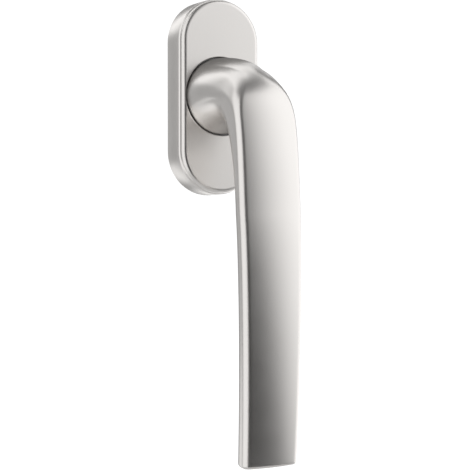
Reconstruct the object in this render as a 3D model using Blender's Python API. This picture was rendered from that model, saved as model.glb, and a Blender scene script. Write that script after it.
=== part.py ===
# Tilt and turn window handle, drawn closed, with its grip pointing down.
#
# +Z is up and +X is to the right as seen from the room. The window sash lies at y = 0 and
# the room at -Y, so a depth d measured from the sash towards the room is y = -d. The origin
# is the spindle's axis where it meets the sash. All lengths are in metres.

import math

import bmesh
import bpy
from mathutils import Matrix, Vector
from mathutils.geometry import interpolate_bezier

mm = 0.001

# Clearance between neighbouring pieces.
gap = 0.3 * mm

# Rosette: the stadium-shaped cover and the base under it.
rosette_width = 30.0 * mm
rosette_height = 67.0 * mm
rosette_depth = 11.5 * mm
cover_wall = 1.4 * mm
cover_draft = 0.25 * mm
cover_edge_radius = 2.0 * mm
cover_inner_chamfer = 1.2 * mm

# Spindle, and the lever's journal around it.
spindle_width = 7.0 * mm
spindle_chamfer = 0.5 * mm
spindle_reach = 24.0 * mm
spindle_in_neck = 25.0 * mm
journal_radius = 7.0 * mm
journal_flat_cut = 1.0 * mm
journal_chamfer = 0.4 * mm
journal_tail = 0.6 * mm

# Stack on the journal, from the room towards the sash.
bush_wall = 1.3 * mm
bush_flange_rim = 1.8 * mm
bush_flange = 0.9 * mm
hub_wall = 1.4 * mm
detent_ring_thickness = 3.0 * mm
detent_ring_wall = 2.2 * mm
wave_washer_height = 0.8 * mm
wave_washer_sheet = 0.3 * mm
wave_count = 3
washer_thickness = 0.5 * mm
washer_rim = 2.2 * mm
circlip_thickness = 0.7 * mm
circlip_width = 1.6 * mm
circlip_groove = 1.0 * mm
circlip_lug = 1.2 * mm
circlip_eye_radius = 0.5 * mm
circlip_opening = math.radians(44)
circlip_lug_angle = math.radians(18)

# Detent: two sprung balls that drop into notches a quarter turn apart.
notch_count = 4
ball_radius = 2.0 * mm
ball_travel = 0.8 * mm
spring_length = 2.7 * mm
spring_wire_radius = 0.21 * mm
spring_turns = 4

# Fixing screws, at the standard spacing, and the pegs they pass through.
screw_spacing = 43.0 * mm
screw_radius = 2.5 * mm
screw_head_radius = 4.5 * mm
screw_head_rim = 0.3 * mm
screw_length = 35.0 * mm
screw_point = 3.0 * mm
drive_width = 1.0 * mm
drive_span = 4.8 * mm
drive_depth = 1.9 * mm
peg_radius = 5.0 * mm
peg_length = 10.0 * mm
peg_chamfer = 0.8 * mm
peg_spigot_radius = 3.9 * mm
peg_spigot = 1.9 * mm

# Cored pockets in the back of the base, and the leaf springs on its sides.
pocket_radius = 2.4 * mm
pocket_depth = 6.8 * mm
pocket_across = 8.2 * mm
pocket_up = 16.0 * mm
clip_length = 11.0 * mm
clip_width = 4.5 * mm
clip_sheet = 0.4 * mm
clip_bow = 0.6 * mm

# Leaf spring that takes up the spindle's play in the neck.
spindle_clip_width = 3.0 * mm
spindle_clip_length = 10.0 * mm
spindle_clip_sheet = 0.3 * mm
spindle_clip_bow = 0.3 * mm

# Lever: a round neck that bends down into a flat grip.
neck_radius = 12.9 * mm
bend_drop = 40.0 * mm
tip_drop = 119.5 * mm
grip_front = 49.1 * mm
grip_thickness = 9.7 * mm
grip_bow = 1.15 * mm
grip_tip_back = 0.7 * mm
grip_width = 21.8 * mm
tip_width = 19.5 * mm
grip_crown_radius = 40.0 * mm
grip_front_radius = 2.6 * mm
grip_back_across = 4.5 * mm
grip_back_along = 6.0 * mm
tip_radius = 1.2 * mm

# Handles of the bend's guide curves: the outer one runs over its top, the inner one under it.
neck_top_short_of_grip = 0.7 * mm
neck_top_fall = 2.1 * mm
outer_grip_behind = 2.7 * mm
outer_grip_fall = 7.9 * mm
neck_under_out = 13.4 * mm
neck_under_rise = 4.2 * mm
inner_grip_behind = 2.2 * mm
inner_grip_fall = 1.2 * mm

# Where the handles of the grip's curves lie, as a share of its length.
grip_upper_handle = 0.22
grip_lower_handle = 0.66
grip_upper_bow = 1.26

# How far round the bend, as a share of it, each shape has faded from neck to grip.
neck_round_until = 0.5
neck_wide_until = 0.45
front_corner_from = 0.3
front_corner_until = 0.635
back_corner_from = 0.3
fullest_corner = 0.95

# Mesh fineness.
turn_steps = 48
end_steps = 16
edge_steps = 4
bend_rings = 20
grip_rings = 8
ring_steps = 96
rod_steps = 32
small_rod_steps = 20
ball_steps = 20
coil_steps = 14
wire_sides = 6
merge_distance = 0.001 * mm
sharp_angle = math.radians(35)

# Places worked out from the sizes above. Depths run from the sash towards the room.
overshoot = 1.0 * mm
straight_half = (rosette_height - rosette_width) / 2
base_depth = rosette_depth - cover_wall - gap
shoulder_depth = base_depth + gap
flange_back = base_depth - bush_flange
recess_floor = flange_back - gap
chamber_floor = recess_floor - hub_wall
ring_front = chamber_floor - gap
ring_back = ring_front - detent_ring_thickness
wave_front = ring_back - gap
wave_back = wave_front - wave_washer_height
washer_front = wave_back - gap
washer_back = washer_front - washer_thickness
circlip_front = washer_back - gap
circlip_back = circlip_front - circlip_thickness
groove_front = circlip_front + gap / 2
groove_back = circlip_back - gap / 2
journal_end = circlip_back - journal_tail

bore_radius = journal_radius + gap
bush_radius = bore_radius + bush_wall
bush_flange_radius = bush_radius + bush_flange_rim
journal_flat = journal_radius - journal_flat_cut
detent_ring_radius = bore_radius + detent_ring_wall
chamber_radius = detent_ring_radius + 2 * gap
circlip_inner = journal_radius - circlip_groove + gap
circlip_outer = circlip_inner + circlip_width
cover_hole_radius = neck_radius + gap
base_half_width = rosette_width / 2 - cover_draft - cover_wall - gap
ball_lifted = detent_ring_radius + gap + ball_radius
ball_seated = ball_lifted - ball_travel
ball_depth = (ring_front + ring_back) / 2
spring_start = ball_lifted + ball_radius + gap
spring_end = spring_start + spring_length
pocket_end = spring_end + gap
screw_hole_radius = screw_radius + gap
screw_head_depth = base_depth - gap
grip_back = grip_front - grip_thickness


# Scene and mesh helpers.


def clear_scene():
    for item in list(bpy.data.objects):
        bpy.data.objects.remove(item, do_unlink=True)


def make_material(name, colour, roughness, metallic):
    material = bpy.data.materials.new(name)
    material.use_nodes = True
    shader = material.node_tree.nodes["Principled BSDF"]
    shader.inputs["Base Color"].default_value = (*colour, 1.0)
    shader.inputs["Roughness"].default_value = roughness
    shader.inputs["Metallic"].default_value = metallic
    return material


def add_object(name, mesh, material=None, place=(0, 0, 0), turn=(0, 0, 0), parent=None):
    item = bpy.data.objects.new(name, mesh)
    item.location = place
    item.rotation_euler = turn
    item.parent = parent
    if material and not mesh.materials:
        mesh.materials.append(material)
    bpy.context.scene.collection.objects.link(item)
    return item


def cut(target, mesh, place=(0, 0, 0), turn=(0, 0, 0)):
    """Cuts the mesh's shape out of the target."""
    count = len(target.modifiers) + 1
    cutter = add_object(f"{target.name}_cutter_{count}", mesh, None, place, turn, target)
    cutter.hide_render = True
    cutter.display_type = "WIRE"
    modifier = target.modifiers.new(f"Cut {count}", "BOOLEAN")
    modifier.operation = "DIFFERENCE"
    modifier.solver = "EXACT"
    modifier.object = cutter


def mesh_from(bm, name):
    bmesh.ops.remove_doubles(bm, verts=bm.verts, dist=merge_distance)
    bmesh.ops.recalc_face_normals(bm, faces=bm.faces)
    mesh = bpy.data.meshes.new(name)
    bm.to_mesh(mesh)
    bm.free()
    mesh.shade_smooth()
    mesh.set_sharp_from_angle(angle=sharp_angle)
    return mesh


def at(x, depth, height):
    return Vector((x, -depth, height))


def skin(name, rings, closed=False):
    """Walls from ring to ring; the two ends are capped, or joined to each other."""
    bm = bmesh.new()
    loops = [[bm.verts.new(point) for point in ring] for ring in rings]
    pairs = list(zip(loops, loops[1:]))
    if closed:
        pairs.append((loops[-1], loops[0]))
    for low, high in pairs:
        for k in range(len(low)):
            after = (k + 1) % len(low)
            bm.faces.new((low[k], low[after], high[after], high[k]))
    if not closed:
        bm.faces.new(reversed(loops[0]))
        bm.faces.new(loops[-1])
    return mesh_from(bm, name)


def prism(name, outline, back, front):
    """An (x, z) outline drawn out from one depth to another."""
    return skin(name, [[at(x, depth, z) for x, z in outline] for depth in (back, front)])


def turned(name, profile):
    """A solid turned about Y from (radius, depth) points, which may start and end on the axis."""
    bm = bmesh.new()
    points = [bm.verts.new(at(radius, depth, 0)) for radius, depth in profile]
    edges = [bm.edges.new(pair) for pair in zip(points, points[1:])]
    if profile[0][0] > 0:
        edges.append(bm.edges.new((points[-1], points[0])))
    bmesh.ops.spin(
        bm,
        geom=points + edges,
        cent=(0, 0, 0),
        axis=(0, 1, 0),
        angle=2 * math.pi,
        steps=turn_steps,
        use_merge=True,
    )
    return mesh_from(bm, name)


def rod(name, radius, low, high, steps=rod_steps):
    """A cylinder along Z from one height to the other."""
    bm = bmesh.new()
    middle = Matrix.Translation((0, 0, (low + high) / 2))
    bmesh.ops.create_cone(
        bm,
        cap_ends=True,
        segments=steps,
        radius1=radius,
        radius2=radius,
        depth=high - low,
        matrix=middle,
    )
    return mesh_from(bm, name)


def block(name, low, high):
    """A box between two corners."""
    bm = bmesh.new()
    middle = Matrix.Translation((Vector(low) + Vector(high)) / 2)
    size = Matrix.Diagonal((*(Vector(high) - Vector(low)), 1))
    bmesh.ops.create_cube(bm, size=1, matrix=middle @ size)
    return mesh_from(bm, name)


def arc(radius, start, end, steps, centre=(0, 0)):
    """(x, z) points along an arc, ends included, turning from +X towards +Z."""
    angles = [start + (end - start) * k / steps for k in range(steps + 1)]
    return [(centre[0] + radius * math.cos(a), centre[1] + radius * math.sin(a)) for a in angles]


def stadium(half_width):
    """The rosette's outline at this half-width: two half circles and two straight sides."""
    upper = arc(half_width, 0, math.pi, end_steps, (0, straight_half))
    lower = arc(half_width, math.pi, 2 * math.pi, end_steps, (0, -straight_half))
    return upper + lower


def stadium_ring(half_width, depth):
    return [at(x, depth, z) for x, z in stadium(half_width)]


def ring_plate(name, outer, inner, back, front):
    """A flat ring whose outer and inner radius are functions of the angle."""
    angles = [2 * math.pi * k / ring_steps for k in range(ring_steps)]
    rings = []
    for radius, depth in ((outer, back), (outer, front), (inner, front), (inner, back)):
        rings.append([at(radius(a) * math.cos(a), depth, radius(a) * math.sin(a)) for a in angles])
    return skin(name, rings, closed=True)


def leaf(name, length, width, sheet, bow):
    """A leaf spring along Z, bowed towards +X, its ends' inner face at x = 0."""
    rings = []
    for k in range(2 * edge_steps + 1):
        z = length * (k / (2 * edge_steps) - 0.5)
        x = bow * (1 - (2 * z / length) ** 2)
        corners = ((x, -1), (x + sheet, -1), (x + sheet, 1), (x, 1))
        rings.append([Vector((cx, side * width / 2, z)) for cx, side in corners])
    return skin(name, rings)


# The rosette's fixed pieces.


def make_base_plate(material):
    base = add_object(
        "base_plate",
        skin(
            "base_plate",
            [
                stadium_ring(base_half_width, 0),
                stadium_ring(base_half_width, base_depth - cover_inner_chamfer),
                stadium_ring(base_half_width - cover_inner_chamfer, base_depth),
            ],
        ),
        material,
    )
    cut(base, hub_space())
    hole = screw_space()
    ball_pocket = rod("ball_pocket", ball_radius + gap, chamber_radius - overshoot, pocket_end)
    clip_back = base_half_width - clip_bow - clip_sheet - gap
    clip_slot = block(
        "clip_slot",
        (clip_back, -clip_width / 2 - gap, -clip_length / 2 - gap),
        (base_half_width + overshoot, clip_width / 2 + gap, clip_length / 2 + gap),
    )
    cored_pocket = rod("cored_pocket", pocket_radius, -overshoot, pocket_depth, small_rod_steps)
    for side, turn in ((1, 0), (-1, math.pi)):
        cut(base, clip_slot, (0, -ball_depth, 0), (0, 0, turn))
    for side, turn in ((1, 0), (-1, math.pi)):
        cut(base, ball_pocket, (0, -ball_depth, 0), (0, turn, 0))
        cut(base, hole, (0, 0, side * screw_spacing / 2))
        for across in (pocket_across, -pocket_across):
            cut(base, cored_pocket, (across, 0, side * pocket_up), (math.pi / 2, 0, 0))
    return base


def hub_space():
    """The hollow in the base for the bush and the stack on the journal."""
    return turned(
        "hub_space",
        [
            (0, -overshoot),
            (chamber_radius, -overshoot),
            (chamber_radius, chamber_floor),
            (bush_radius + gap, chamber_floor),
            (bush_radius + gap, recess_floor),
            (bush_flange_radius + gap, recess_floor),
            (bush_flange_radius + gap, base_depth + overshoot),
            (0, base_depth + overshoot),
        ],
    )


def screw_space():
    """The countersunk hole for a screw, with the seat for its peg at the back."""
    rim_depth = screw_head_depth - screw_head_rim
    cone = screw_head_radius - screw_radius
    return turned(
        "screw_space",
        [
            (0, -overshoot),
            (peg_spigot_radius + gap, -overshoot),
            (peg_spigot_radius + gap, peg_spigot + gap),
            (screw_hole_radius, peg_spigot + gap),
            (screw_hole_radius, rim_depth - cone),
            (screw_head_radius + gap, rim_depth),
            (screw_head_radius + gap, base_depth + overshoot),
            (0, base_depth + overshoot),
        ],
    )


def make_cover(material):
    edge = []
    half_width = rosette_width / 2 - cover_draft
    for k in range(edge_steps + 1):
        lean = math.pi / 2 * k / edge_steps
        inset = cover_edge_radius * (1 - math.cos(lean))
        rise = cover_edge_radius * math.sin(lean)
        edge.append(stadium_ring(half_width - inset, rosette_depth - cover_edge_radius + rise))
    inner_top = base_depth + gap
    rings = edge[::-1] + [
        stadium_ring(rosette_width / 2, 0),
        stadium_ring(rosette_width / 2 - cover_wall, 0),
        stadium_ring(half_width - cover_wall, inner_top - cover_inner_chamfer),
        stadium_ring(half_width - cover_wall - cover_inner_chamfer + gap, inner_top),
    ]
    cover = add_object("cover_cap", skin("cover_cap", rings), material)
    cut(
        cover,
        turned(
            "neck_hole",
            [
                (0, base_depth - overshoot),
                (cover_hole_radius, base_depth - overshoot),
                (cover_hole_radius, rosette_depth + overshoot),
                (0, rosette_depth + overshoot),
            ],
        ),
    )
    return cover


def make_neck_bush(material):
    profile = [
        (bore_radius, chamber_floor),
        (bush_radius, chamber_floor),
        (bush_radius, flange_back),
        (bush_flange_radius, flange_back),
        (bush_flange_radius, base_depth),
        (bore_radius, base_depth),
    ]
    add_object("neck_bush", turned("neck_bush", profile), material)


def make_screws(material):
    rim_depth = screw_head_depth - screw_head_rim
    tip = screw_head_depth - screw_length
    profile = [
        (0, screw_head_depth),
        (screw_head_radius, screw_head_depth),
        (screw_head_radius, rim_depth),
        (screw_radius, rim_depth - screw_head_radius + screw_radius),
        (screw_radius, tip + screw_point),
        (screw_radius / 2, tip),
        (0, tip),
    ]
    mesh = turned("fixing_screw", profile)
    slot = block(
        "drive_slot",
        (-drive_span / 2, -screw_head_depth - overshoot, -drive_width / 2),
        (drive_span / 2, -screw_head_depth + drive_depth, drive_width / 2),
    )
    for name, side in (("fixing_screw_upper", 1), ("fixing_screw_lower", -1)):
        screw = add_object(name, mesh, material, (0, 0, side * screw_spacing / 2))
        for turn in (0, math.pi / 2):
            cut(screw, slot, turn=(0, turn, 0))


def make_pegs(material):
    profile = [
        (screw_hole_radius, peg_spigot),
        (peg_spigot_radius, peg_spigot),
        (peg_spigot_radius, -gap),
        (peg_radius, -gap),
        (peg_radius, peg_chamfer - peg_length),
        (peg_radius - peg_chamfer, -peg_length),
        (screw_hole_radius, -peg_length),
    ]
    mesh = turned("support_peg", profile)
    for name, side in (("support_peg_upper", 1), ("support_peg_lower", -1)):
        add_object(name, mesh, material, (0, 0, side * screw_spacing / 2))


def make_cover_clips(material):
    mesh = leaf("cover_clip", clip_length, clip_width, clip_sheet, clip_bow)
    seat = base_half_width - clip_bow - clip_sheet
    for name, side, turn in (("cover_clip_right", 1, 0), ("cover_clip_left", -1, math.pi)):
        add_object(name, mesh, material, (side * seat, -ball_depth, 0), (0, 0, turn))


# The detent.


def coil_rings():
    """Rings round the wire of a coil spring along Z, with its end turns closed up."""
    radius = ball_radius - 2 * spring_wire_radius
    rise = spring_length - 2 * spring_wire_radius
    count = spring_turns * coil_steps
    rings = []
    for k in range(count + 1):
        share = k / count
        angle = 2 * math.pi * spring_turns * share
        eased = share - math.sin(2 * math.pi * share) / (4 * math.pi)
        out = Vector((math.cos(angle), math.sin(angle), 0))
        middle = out * radius + Vector((0, 0, spring_wire_radius + rise * eased))
        ring = []
        for j in range(wire_sides):
            around = 2 * math.pi * j / wire_sides
            side = out * math.cos(around) + Vector((0, 0, math.sin(around)))
            ring.append(middle + side * spring_wire_radius)
        rings.append(ring)
    return rings


def make_detent(spring_material, ball_material):
    spring = skin("detent_spring", coil_rings())
    bm = bmesh.new()
    rows = ball_steps // 2 + 2
    bmesh.ops.create_uvsphere(bm, u_segments=ball_steps, v_segments=rows, radius=ball_radius)
    ball = mesh_from(bm, "detent_ball")
    for name, side, turn in (("upper", 1, 0), ("lower", -1, math.pi)):
        foot = (0, -ball_depth, side * spring_start)
        add_object(f"detent_spring_{name}", spring, spring_material, foot, (0, turn, 0))
        middle = (0, -ball_depth, side * ball_lifted)
        add_object(f"detent_ball_{name}", ball, ball_material, middle)


def notched_radius(angle):
    """The detent ring's outer radius: round lands, with a round notch for the ball at each stop."""
    pitch = 2 * math.pi / notch_count
    off = (angle + pitch / 2) % pitch - pitch / 2
    notch = ball_radius + gap
    across = ball_seated * math.sin(off)
    if abs(across) >= notch:
        return detent_ring_radius
    floor = ball_seated * math.cos(off) - math.sqrt(notch**2 - across**2)
    return min(detent_ring_radius, floor)


def flatted_radius(round_radius, flat):
    """The radius, as a function of the angle, of a round with two flats that face left and right."""
    return lambda angle: min(round_radius, flat / max(abs(math.cos(angle)), flat / round_radius))


def make_journal_stack(ring_material, spring_material, parent):
    """The pieces that turn with the lever inside the base."""
    bore = flatted_radius(bore_radius, journal_flat + gap)
    ring = ring_plate("detent_ring", notched_radius, bore, ring_back, ring_front)
    add_object("detent_ring", ring, ring_material, parent=parent)

    rim = bore_radius + washer_rim
    washer = ring_plate("thrust_washer", lambda a: rim, bore, washer_back, washer_front)
    add_object("thrust_washer", washer, ring_material, parent=parent)

    middle = (wave_front + wave_back) / 2
    swing = (wave_washer_height - wave_washer_sheet) / 2
    half = wave_washer_sheet / 2
    rings = []
    for k in range(turn_steps):
        angle = 2 * math.pi * k / turn_steps
        depth = middle + swing * math.sin(wave_count * angle)
        corners = ((bore_radius, -half), (rim, -half), (rim, half), (bore_radius, half))
        ring = [at(r * math.cos(angle), depth + d, r * math.sin(angle)) for r, d in corners]
        rings.append(ring)
    add_object("wave_washer", skin("wave_washer", rings, closed=True), spring_material, parent=parent)


def make_circlip(material, parent):
    """A retaining ring that opens downwards, with an eye in each lug for the pliers."""
    start = circlip_opening / 2 - math.pi / 2
    end = 3 * math.pi / 2 - circlip_opening / 2
    lug = circlip_lug_angle
    lug_radius = circlip_outer + circlip_lug
    outline = arc(lug_radius, start, start + lug, edge_steps)
    outline += arc(circlip_outer, start + lug, end - lug, turn_steps)
    outline += arc(lug_radius, end - lug, end, edge_steps)
    outline += arc(circlip_inner, end, start, turn_steps)
    mesh = prism("retaining_ring", outline, circlip_back, circlip_front)
    ring = add_object("retaining_ring", mesh, material, parent=parent)
    low = circlip_back - overshoot
    high = circlip_front + overshoot
    eye = rod("circlip_eye", circlip_eye_radius, low, high, small_rod_steps)
    eye_radius = (circlip_inner + lug_radius) / 2
    for angle in (start + lug / 2, end - lug / 2):
        place = at(eye_radius * math.cos(angle), 0, eye_radius * math.sin(angle))
        cut(ring, eye, place, (math.pi / 2, 0, 0))


# Spindle and lever.


def square_outline(half, chamfer):
    near = half - chamfer
    return [
        (half, -near),
        (half, near),
        (near, half),
        (-near, half),
        (-half, near),
        (-half, -near),
        (-near, -half),
        (near, -half),
    ]


def make_spindle(material, clip_material, parent):
    half = spindle_width / 2
    rings = []
    for depth, inset in (
        (-spindle_reach, spindle_chamfer),
        (-spindle_reach + spindle_chamfer, 0),
        (spindle_in_neck - spindle_chamfer, 0),
        (spindle_in_neck, spindle_chamfer),
    ):
        rings.append([at(x, depth, z) for x, z in square_outline(half - inset, spindle_chamfer)])
    spindle = add_object("spindle", skin("spindle", rings), material, parent=parent)

    middle = (shoulder_depth + spindle_in_neck) / 2
    seat = half - spindle_clip_bow - spindle_clip_sheet
    along = spindle_clip_length / 2 + gap
    across = spindle_clip_width / 2 + gap
    low = (-across, -middle - along, seat - gap)
    high = (across, -middle + along, half + overshoot)
    cut(spindle, block("clip_groove", low, high))

    mesh = leaf(
        "spindle_clip",
        spindle_clip_length,
        spindle_clip_width,
        spindle_clip_sheet,
        spindle_clip_bow,
    )
    upright = Matrix(((0, 1, 0), (0, 0, 1), (1, 0, 0))).to_euler()
    add_object("spindle_clip", mesh, clip_material, (0, -middle, seat), upright, parent)


def fade(share):
    """Rises smoothly from 0 to 1 as the share does."""
    share = min(max(share, 0), 1)
    return share * share * (3 - 2 * share)


def blend(low, high, share):
    return low + (high - low) * share


def half_section(half_width, half_thickness, front_radius, back_across, back_along):
    """Half of the grip's section, from the middle of its crowned front round to the back."""
    crown = grip_crown_radius
    crown_centre = half_thickness - crown
    reach = half_width - front_radius
    front_centre = crown_centre + math.sqrt((crown - front_radius) ** 2 - reach**2)
    lean = math.asin(reach / (crown - front_radius))
    back_centre = back_along - half_thickness
    points = []
    for k in range(edge_steps):
        a = lean * k / edge_steps
        points.append((crown * math.sin(a), crown_centre + crown * math.cos(a)))
    for k in range(edge_steps):
        a = blend(lean, math.pi / 2, k / edge_steps)
        x = reach + front_radius * math.sin(a)
        points.append((x, front_centre + front_radius * math.cos(a)))
    for share in (0, 0.5):
        points.append((half_width, blend(front_centre, back_centre, share)))
    for k in range(edge_steps):
        a = math.pi / 2 * k / edge_steps
        x = half_width - back_across + back_across * math.cos(a)
        points.append((x, back_centre - back_along * math.sin(a)))
    for share in (1, 0.5, 0):
        points.append(((half_width - back_across) * share, -half_thickness))
    return points


def half_oval(half_width, half_thickness, count):
    angles = [math.pi * k / (count - 1) for k in range(count)]
    return [(half_width * math.sin(a), half_thickness * math.cos(a)) for a in angles]


def section_ring(outer, inner, points):
    """Both halves of a section, across the line from an inner to an outer (depth, height) point."""
    middle = (outer + inner) / 2
    out = (outer - inner).normalized()
    halves = points + [(-x, e) for x, e in points[-2:0:-1]]
    return [at(x, middle.x + out.x * e, middle.y + out.y * e) for x, e in halves]


def neck_rings(count):
    """The journal, its groove for the retaining ring, and the shoulder behind the neck."""
    groove = journal_radius - circlip_groove
    profile = [
        (journal_end, journal_radius - journal_chamfer),
        (journal_end + journal_chamfer / 2, journal_radius),
        (groove_back, journal_radius),
        (groove_back, groove),
        (groove_front, groove),
        (groove_front, journal_radius),
        (chamber_floor - gap / 2, journal_radius),
        (chamber_floor, journal_radius),
        (shoulder_depth, journal_radius),
        (shoulder_depth, neck_radius),
    ]
    rings = []
    for depth, radius in profile:
        flat = journal_flat if depth < chamber_floor else radius
        points = half_oval(radius, radius, count)
        points = [(min(x, flat), z) for x, z in points]
        halves = points + [(-x, z) for x, z in points[-2:0:-1]]
        rings.append([at(x, depth, z) for x, z in halves])
    return rings


def bend_sections():
    """Sections from the rosette's face round the bend, each across its two guide curves."""
    outer = interpolate_bezier(
        Vector((rosette_depth, neck_radius)),
        Vector((grip_front - neck_top_short_of_grip, neck_radius - neck_top_fall)),
        Vector((grip_front - outer_grip_behind, -outer_grip_fall)),
        Vector((grip_front, -bend_drop)),
        bend_rings,
    )
    inner = interpolate_bezier(
        Vector((rosette_depth, -neck_radius)),
        Vector((rosette_depth + neck_under_out, -neck_radius + neck_under_rise)),
        Vector((grip_back - inner_grip_behind, -inner_grip_fall)),
        Vector((grip_back, -bend_drop)),
        bend_rings,
    )
    rings = []
    for k in range(bend_rings):
        share = k / (bend_rings - 1)
        half_thickness = (outer[k] - inner[k]).length / 2
        half_width = blend(neck_radius, grip_width / 2, fade(share / neck_wide_until))
        fullest = fullest_corner * min(half_width, half_thickness)
        front_span = front_corner_until - front_corner_from
        front_full = fade((front_corner_until - share) / front_span)
        back_full = fade((1 - share) / (1 - back_corner_from))
        front_radius = blend(grip_front_radius, fullest, front_full)
        back_across = blend(grip_back_across, fullest, back_full)
        back_along = blend(grip_back_along, fullest, back_full)
        corners = front_radius, back_across, back_along
        flat = half_section(half_width, half_thickness, *corners)
        round_points = half_oval(half_width, half_thickness, len(flat))
        round_share = fade(1 - share / neck_round_until)
        points = []
        for (x, e), (round_x, round_e) in zip(flat, round_points):
            points.append((blend(x, round_x, round_share), blend(e, round_e, round_share)))
        rings.append(section_ring(outer[k], inner[k], points))
    return rings, len(points)


def grip_sections():
    """Sections down the grip, which bows gently forwards, and round the edge of its tip."""
    low = -tip_drop + tip_radius
    upper_handle = blend(-bend_drop, low, grip_upper_handle)
    lower_handle = blend(-bend_drop, low, grip_lower_handle)
    curves = []
    for start in (grip_front, grip_back):
        curves.append(
            interpolate_bezier(
                Vector((start, -bend_drop)),
                Vector((start + grip_upper_bow * grip_bow, upper_handle)),
                Vector((start + grip_bow, lower_handle)),
                Vector((start - grip_tip_back, low)),
                grip_rings,
            )
        )
    stations = []
    for k in range(1, grip_rings):
        half_width = blend(grip_width, tip_width, k / (grip_rings - 1)) / 2
        stations.append((curves[0][k], curves[1][k], half_width, 0))
    for k in range(1, edge_steps + 1):
        lean = math.pi / 2 * k / edge_steps
        drop = Vector((0, -tip_radius * math.sin(lean)))
        inset = tip_radius * (1 - math.cos(lean))
        stations.append((curves[0][-1] + drop, curves[1][-1] + drop, tip_width / 2, inset))
    rings = []
    for outer, inner, half_width, inset in stations:
        half_thickness = (outer - inner).length / 2 - inset
        points = half_section(
            half_width - inset,
            half_thickness,
            grip_front_radius - inset,
            grip_back_across - inset,
            grip_back_along - inset,
        )
        rings.append(section_ring(outer, inner, points))
    return rings


def make_lever(material, parent):
    bend, count = bend_sections()
    rings = neck_rings(count) + bend + grip_sections()
    lever = add_object("lever", skin("lever", rings), material, parent=parent)
    half = spindle_width / 2 + gap
    low = (-half, -spindle_in_neck - gap, -half)
    high = (half, -journal_end + overshoot, half)
    cut(lever, block("spindle_socket", low, high))


def main():
    clear_scene()
    satin = make_material("satin_aluminium", (0.64, 0.63, 0.62), 0.32, 1.0)
    zinc = make_material("die_cast_zinc", (0.42, 0.43, 0.44), 0.5, 1.0)
    plated = make_material("plated_steel", (0.62, 0.62, 0.6), 0.35, 1.0)
    spring_steel = make_material("spring_steel", (0.3, 0.31, 0.33), 0.35, 1.0)
    polymer = make_material("grey_polymer", (0.2, 0.21, 0.22), 0.55, 0.0)

    turning_axis = add_object("turning_axis", None)
    make_base_plate(zinc)
    make_neck_bush(polymer)
    make_cover_clips(spring_steel)
    make_screws(plated)
    make_pegs(polymer)
    make_detent(spring_steel, plated)
    make_cover(satin)
    make_lever(satin, turning_axis)
    make_spindle(plated, spring_steel, turning_axis)
    make_journal_stack(zinc, spring_steel, turning_axis)
    make_circlip(spring_steel, turning_axis)


main()
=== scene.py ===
import math

import bmesh
import bpy
from mathutils import Matrix, Vector
from mathutils.geometry import interpolate_bezier


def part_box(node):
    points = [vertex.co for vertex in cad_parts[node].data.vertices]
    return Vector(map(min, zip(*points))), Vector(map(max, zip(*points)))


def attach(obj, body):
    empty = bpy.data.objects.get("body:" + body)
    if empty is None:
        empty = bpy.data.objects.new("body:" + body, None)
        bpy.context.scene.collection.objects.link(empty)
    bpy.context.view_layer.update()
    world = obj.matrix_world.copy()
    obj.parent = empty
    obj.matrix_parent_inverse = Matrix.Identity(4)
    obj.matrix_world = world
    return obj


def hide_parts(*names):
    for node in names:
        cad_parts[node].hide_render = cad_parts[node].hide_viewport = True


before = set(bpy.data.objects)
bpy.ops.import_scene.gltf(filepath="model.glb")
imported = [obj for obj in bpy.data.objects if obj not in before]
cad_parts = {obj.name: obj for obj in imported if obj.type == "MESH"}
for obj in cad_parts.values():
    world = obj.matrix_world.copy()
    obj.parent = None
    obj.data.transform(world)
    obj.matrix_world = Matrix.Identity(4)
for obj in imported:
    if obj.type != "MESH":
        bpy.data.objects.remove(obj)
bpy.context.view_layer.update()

# A tilt and turn window handle in satin metal, closed, with its grip hanging down.
# +Z is up, +X is right as seen from the room, and the room is at -Y. A depth is measured from
# the window sash (y = 0) towards the room, so it is a place's y with its sign turned.

mm = 0.001
gap = 0.3 * mm  # air between neighbouring pieces
overshoot = 1.0 * mm  # how far a cutter runs past what it cuts


def spanOf(node):
    low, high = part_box(node)
    middle = (low + high) / 2
    return {
        "back": -high.y,
        "front": -low.y,
        "right": high.x,
        "left": low.x,
        "top": high.z,
        "bottom": low.z,
        "middle": middle,
    }


def at(across, depth, up):
    return Vector((across, -depth, up))


def between(start, end, share):
    return start + (end - start) * share


def eased(share):
    share = min(max(share, 0), 1)
    return share * share * (3 - 2 * share)


# Mesh work


def finishMesh(bm, name, sharpAngle=32):
    bmesh.ops.remove_doubles(bm, verts=bm.verts, dist=0.0002 * mm)
    bmesh.ops.recalc_face_normals(bm, faces=bm.faces)
    mesh = bpy.data.meshes.new(name)
    bm.to_mesh(mesh)
    bm.free()
    mesh.shade_smooth()
    mesh.set_sharp_from_angle(angle=math.radians(sharpAngle))
    return mesh


# Walls from ring to ring. The ends are capped, or joined to each other.
def loft(name, rings, joined=False, sharpAngle=32):
    bm = bmesh.new()
    loops = [[bm.verts.new(point) for point in ring] for ring in rings]
    pairs = list(zip(loops, loops[1:]))
    if joined:
        pairs.append((loops[-1], loops[0]))
    for low, high in pairs:
        for k in range(len(low)):
            after = (k + 1) % len(low)
            bm.faces.new((low[k], low[after], high[after], high[k]))
    if not joined:
        bm.faces.new(reversed(loops[0]))
        bm.faces.new(loops[-1])
    return finishMesh(bm, name, sharpAngle)


def turnsOf(steps):
    return [2 * math.pi * k / steps for k in range(steps)]


def circle(radius, depth, steps):
    return [at(radius * math.cos(a), depth, radius * math.sin(a)) for a in turnsOf(steps)]


# A round solid about the depth axis from (radius, depth) points.
def turned(name, profile, steps=96, joined=False):
    return loft(name, [circle(radius, depth, steps) for radius, depth in profile], joined)


# A rod along Z from (radius, height) points.
def upright(name, profile, steps=48):
    rings = []
    for radius, up in profile:
        rings.append([Vector((radius * math.cos(a), radius * math.sin(a), up)) for a in turnsOf(steps)])
    return loft(name, rings)


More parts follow.
